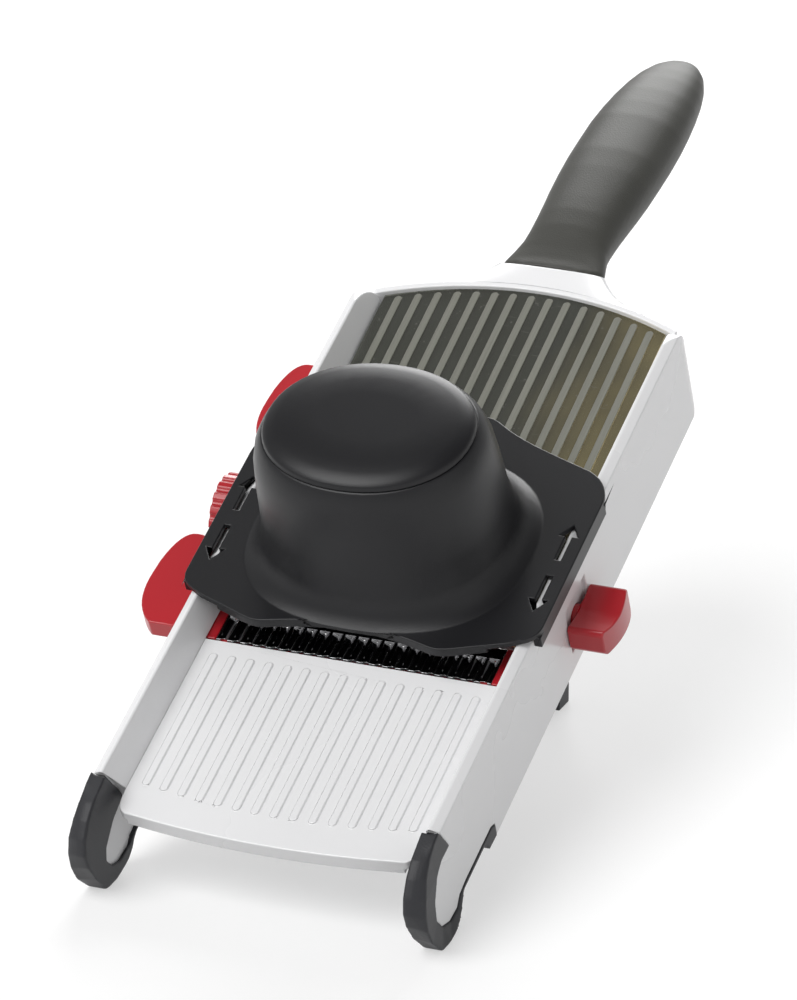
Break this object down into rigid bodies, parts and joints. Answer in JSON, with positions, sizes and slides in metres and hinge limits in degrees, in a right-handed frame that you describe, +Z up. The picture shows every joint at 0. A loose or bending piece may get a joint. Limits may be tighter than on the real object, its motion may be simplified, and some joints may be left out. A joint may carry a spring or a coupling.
{
  "type": "mandoline slicer",
  "caption": "Hand-held mandoline slicer with ribbed landing and steel ramp, red blade cartridges, thickness dial, sliding food guard and folding rear stand.",
  "frame": {"origin": "middle of the rear foot's sole, on the table", "axes": "+Z up, +Y from the toe boots to the handle, +X to the right seen from the toe end looking along +Y"},
  "size_m": [0.1687, 0.4353, 0.1924],
  "materials": {
    "white_gloss": "glossy",
    "grey_plastic": "matte",
    "black_rubber": "matte",
    "black_plastic": "satin",
    "red_plastic": "glossy",
    "steel": "polished"
  },
  "bodies": {
    "frame": {"left_side_panel": "white_gloss", "right_side_panel": "white_gloss", "landing_plate": "white_gloss", "blade_bed": "grey_plastic", "stand_brace": "grey_plastic", "rear_yoke": "white_gloss", "left_toe_boot": "black_rubber", "right_toe_boot": "black_rubber", "frame_screws": "steel", "ramp_hinge_pin": "steel", "handle_tang": "steel", "grip_sleeve": "black_rubber", "stand_pins": "steel"},
    "ramp": {"ramp_plate": "steel", "ramp_carrier": "grey_plastic"},
    "dial": {"dial_knob": "red_plastic", "dial_shaft": "steel", "lift_cams": "grey_plastic"},
    "cartridge": {"blade_cartridge": "red_plastic", "slicing_blade": "steel"},
    "stored_cartridge": {"spare_cartridge": "red_plastic", "spare_blade": "steel"},
    "strip_set": {"strip_carriage": "grey_plastic", "strip_teeth": "steel"},
    "lever": {"strip_lever": "red_plastic", "lever_crank": "steel"},
    "guard": {"guard_body": "black_plastic", "guard_cap": "black_plastic", "guard_bridge": "black_plastic", "pusher_spring": "steel"},
    "pusher": {"pusher_foot": "black_plastic", "pusher_rod": "steel", "pusher_spikes": "steel", "rod_clip": "steel"},
    "stand": {"stand_leg": "grey_plastic", "stand_foot": "black_rubber"}
  },
  "joints": [
    {"name": "ramp_tilt", "type": "hinge", "parent": "frame", "child": "ramp", "pos_m": [0, 0.02798, 0.13222], "axis": [1, 0, 0], "range_deg": [-0.76, 0.95]},
    {"name": "dial_turn", "type": "hinge", "parent": "frame", "child": "dial", "pos_m": [0, -0.06427, 0.08482], "axis": [1, 0, 0], "range_deg": [-120.2, 150.4]},
    {"name": "cartridge_slide", "type": "slide", "parent": "frame", "child": "cartridge", "axis": [-1, 0, 0], "range_m": [0, 0.12]},
    {"name": "stored_cartridge_slide", "type": "slide", "parent": "frame", "child": "stored_cartridge", "axis": [-1, 0, 0], "range_m": [0, 0.12]},
    {"name": "strip_teeth_rise", "type": "slide", "parent": "frame", "child": "strip_set", "axis": [0, -0.4003, 0.9164], "range_m": [0, 0.011]},
    {"name": "lever_turn", "type": "hinge", "parent": "frame", "child": "lever", "pos_m": [0.065, -0.07572, 0.07109], "axis": [1, 0, 0], "range_deg": [0, 90]},
    {"name": "guard_slide", "type": "slide", "parent": "frame", "child": "guard", "axis": [0, 0.9164, 0.4003], "range_m": [-0.075, 0.05]},
    {"name": "pusher_rise", "type": "slide", "parent": "guard", "child": "pusher", "axis": [0, -0.4003, 0.9164], "range_m": [0, 0.017], "stiffness_N_per_m": 150, "springref_m": -0.012, "deforming": ["pusher_spring"]},
    {"name": "stand_fold", "type": "hinge", "parent": "frame", "child": "stand", "pos_m": [0, -0.006, 0.09009], "axis": [-1, 0, 0], "range_deg": [0, 70]}
  ],
  "couplings": [
    {"joint": "dial_turn", "follows": "ramp_tilt", "ratio": 158.17},
    {"joint": "lever_turn", "follows": "strip_teeth_rise", "rad_per_m": 142.8}
  ]
}
